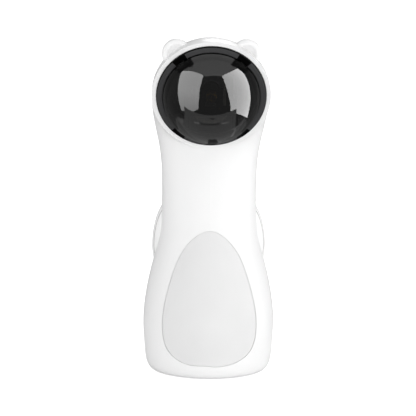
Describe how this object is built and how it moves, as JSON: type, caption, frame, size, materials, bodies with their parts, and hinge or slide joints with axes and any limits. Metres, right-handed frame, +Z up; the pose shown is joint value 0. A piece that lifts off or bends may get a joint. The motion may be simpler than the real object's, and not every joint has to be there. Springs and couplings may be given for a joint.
{
  "type": "automatic cat laser toy",
  "caption": "Free-standing bear-shaped cat toy that swings a small laser behind a smoked face dome; push button, light, charging socket and battery door at the back.",
  "frame": {"origin": "centre of the foot pad's underside, on the surface that the toy stands on", "axes": "+Z up along the toy's height, -Y towards what the face looks at, +X to the right for someone who stands behind it"},
  "size_m": [0.0786, 0.1017, 0.2041],
  "materials": {
    "white_abs": "glossy injection-moulded white ABS",
    "belly_white": "satin off-white plastic",
    "black_gloss": "glossy black plastic",
    "smoke": "smoked clear polycarbonate",
    "foam": "closed-cell foam gasket",
    "pad_rubber": "moulded grey rubber",
    "frame_black": "black moulded plastic",
    "motor_steel": "plated steel can",
    "shaft_steel": "ground steel",
    "gear_plastic": "natural acetal",
    "laser_brass": "turned brass",
    "lens_clear": "clear acrylic lens",
    "board_green": "green solder resist on glass-epoxy board",
    "cell_wrap": "printed film over a steel can",
    "contact_nickel": "nickel-plated spring steel",
    "chip_black": "moulded epoxy",
    "screw_zinc": "zinc-plated steel",
    "button_white": "glossy white plastic",
    "light_clear": "clear acrylic",
    "led_body": "light-emitting diode package"
  },
  "bodies": {
    "casing": {"front_shell": "white_abs", "rear_shell": "white_abs", "base_plate": "white_abs", "belly_panel": "belly_white", "foot_pad": "pad_rubber", "dome_seal": "foam", "dome_lens": "smoke", "bezel_ring": "black_gloss", "mechanism_frame": "frame_black", "battery_bay": "frame_black", "pan_motor": "motor_steel", "main_board": "board_green", "battery_cells": "cell_wrap", "battery_springs": "contact_nickel", "battery_contacts": "contact_nickel", "usb_socket": "contact_nickel", "control_chip": "chip_black", "board_parts": "chip_black", "tact_switch": "chip_black", "status_led": "led_body", "light_pipe": "light_clear", "case_screws": "screw_zinc", "frame_screws": "screw_zinc", "motor_screws": "screw_zinc", "board_screws": "screw_zinc", "base_screws": "screw_zinc"},
    "pan_head": {"pan_yoke": "frame_black", "pan_gear": "gear_plastic", "pivot_clip": "shaft_steel", "tilt_motor": "motor_steel"},
    "pan_drive": {"pan_shaft": "shaft_steel", "pan_pinion": "gear_plastic"},
    "laser": {"laser_cradle": "frame_black", "laser_barrel": "laser_brass", "laser_lens": "lens_clear", "laser_board": "board_green", "tilt_gear": "gear_plastic"},
    "tilt_drive": {"tilt_shaft": "shaft_steel", "tilt_pinion": "gear_plastic"},
    "button": {"power_button": "button_white", "switch_plunger": "chip_black"},
    "door": {"battery_door": "white_abs"}
  },
  "joints": [
    {"name": "pan", "type": "hinge", "parent": "casing", "child": "pan_head", "pos_m": [0, -0.03024, 0.17137], "axis": [0, -0.342, 0.9397], "range_deg": [-35, 35]},
    {"name": "pan_motor_turn", "type": "hinge", "parent": "casing", "child": "pan_drive", "pos_m": [0, -0.01896, 0.17547], "axis": [0, -0.342, 0.9397], "range_deg": [-106, 106]},
    {"name": "tilt", "type": "hinge", "parent": "pan_head", "child": "laser", "pos_m": [0, -0.03024, 0.17137], "axis": [1, 0, 0], "range_deg": [-20, 20]},
    {"name": "tilt_motor_turn", "type": "hinge", "parent": "pan_head", "child": "tilt_drive", "pos_m": [0, -0.02131, 0.17462], "axis": [1, 0, 0], "range_deg": [-57, 57]},
    {"name": "button_press", "type": "slide", "parent": "casing", "child": "button", "axis": [0, -1, 0], "range_m": [0, 0.0008], "stiffness_N_per_m": 600, "springref_m": -0.0008},
    {"name": "door_hinge", "type": "hinge", "parent": "casing", "child": "door", "pos_m": [0, 0.0376, 0.0093], "axis": [-1, 0, 0], "range_deg": [0, 75]}
  ],
  "couplings": [
    {"joint": "pan_motor_turn", "follows": "pan", "ratio": -3},
    {"joint": "tilt_motor_turn", "follows": "tilt", "ratio": -2.8}
  ]
}
